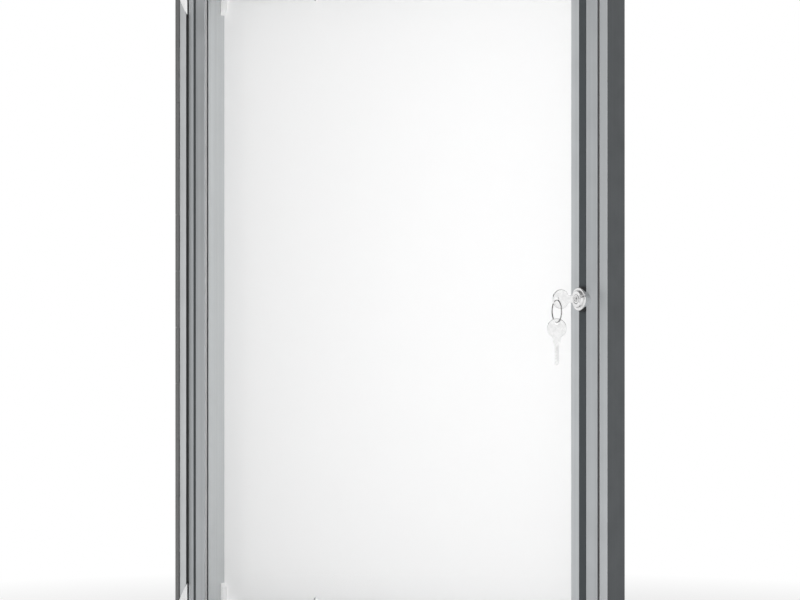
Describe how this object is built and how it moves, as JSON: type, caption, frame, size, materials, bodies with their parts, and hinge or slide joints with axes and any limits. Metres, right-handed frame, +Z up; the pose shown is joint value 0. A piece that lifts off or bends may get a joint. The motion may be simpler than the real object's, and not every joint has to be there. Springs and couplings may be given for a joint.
{
  "type": "lockable notice board",
  "caption": "Shallow wall case of aluminium profiles with a white magnetic board behind a hinged glass door, with white corner caps, a continuous hinge, a cam lock and keys on a ring",
  "frame": {"origin": "middle of the rear face, between the wall fixings", "axes": "+Z up, +X to the right as seen from the front, front facing -Y, rear face in the plane y = 0"},
  "size_m": [0.507, 0.0668, 0.6772],
  "materials": {
    "frame_aluminium": "satin anodised, with fine lengthwise lines",
    "hinge_aluminium": "satin anodised",
    "rivet_aluminium": "plain",
    "dark_rubber": "matt, slightly worn to grey",
    "black_rubber": "matt",
    "grey_rubber": "matt",
    "black_plastic": "fine grain",
    "white_plastic": "fine grain",
    "grey_plastic": "fine grain",
    "white_enamel": "satin white enamel on sheet steel",
    "galvanised": "thin galvanised sheet",
    "glass": "clear safety glass",
    "clear_tape": "foam tape",
    "chrome": "bright",
    "key_metal": "nickel plated",
    "steel": "zinc plated",
    "brass": "plain"
  },
  "bodies": {
    "case": {"case_left": "frame_aluminium", "case_right": "frame_aluminium", "case_top": "frame_aluminium", "case_bottom": "frame_aluminium", "case_corner_keys": "grey_plastic", "corner_caps": "white_plastic", "board_corner_clips": "white_plastic", "rear_panel": "galvanised", "board_sheet": "white_enamel", "panel_screws": "steel", "weather_seal": "black_rubber", "hinge_case_leaf": "hinge_aluminium", "hinge_pin": "steel", "case_rivets": "rivet_aluminium"},
    "door": {"door_left": "frame_aluminium", "door_right": "frame_aluminium", "door_top": "frame_aluminium", "door_bottom": "frame_aluminium", "door_corner_keys": "grey_plastic", "frame_strips": "dark_rubber", "bead_left": "frame_aluminium", "bead_right": "frame_aluminium", "bead_top": "frame_aluminium", "bead_bottom": "frame_aluminium", "door_glass": "glass", "glass_gasket": "grey_rubber", "glazing_tape": "clear_tape", "hinge_door_leaf": "hinge_aluminium", "hinge_packing": "black_plastic", "door_rivets": "rivet_aluminium", "lock_seat": "black_plastic", "lock_cone": "frame_aluminium", "lock_body": "chrome", "lock_washer": "steel", "lock_nut": "steel"},
    "lock_plug": {"lock_plug": "chrome", "lock_wafers": "brass", "lock_cam": "steel", "cam_screw": "steel"},
    "key": {"key_in_lock": "key_metal"},
    "ring": {"key_ring": "key_metal"},
    "spare_key": {"spare_key": "key_metal"}
  },
  "joints": [
    {"name": "door_hinge", "type": "hinge", "parent": "case", "child": "door", "pos_m": [-0.2528, -0.0305, 0], "axis": [0, 0, -1], "range_deg": [0, 170]},
    {"name": "lock_turn", "type": "hinge", "parent": "door", "child": "lock_plug", "pos_m": [0.2255, -0.038, 0], "axis": [-0.3746, -0.9272, 0], "range_deg": [0, 90]},
    {"name": "key_slide", "type": "slide", "parent": "lock_plug", "child": "key", "axis": [-0.3746, -0.9272, 0], "range_m": [0, 0.02]},
    {"name": "ring_swing", "type": "hinge", "parent": "key", "child": "ring", "pos_m": [0.21628, -0.06081, -0.00085], "axis": [-0.848, 0.5299, 0], "range_deg": [-20, 45]},
    {"name": "spare_swing", "type": "hinge", "parent": "ring", "child": "spare_key", "pos_m": [0.21628, -0.06081, -0.02085], "axis": [-0.848, 0.5299, 0], "range_deg": [-20, 30]}
  ]
}
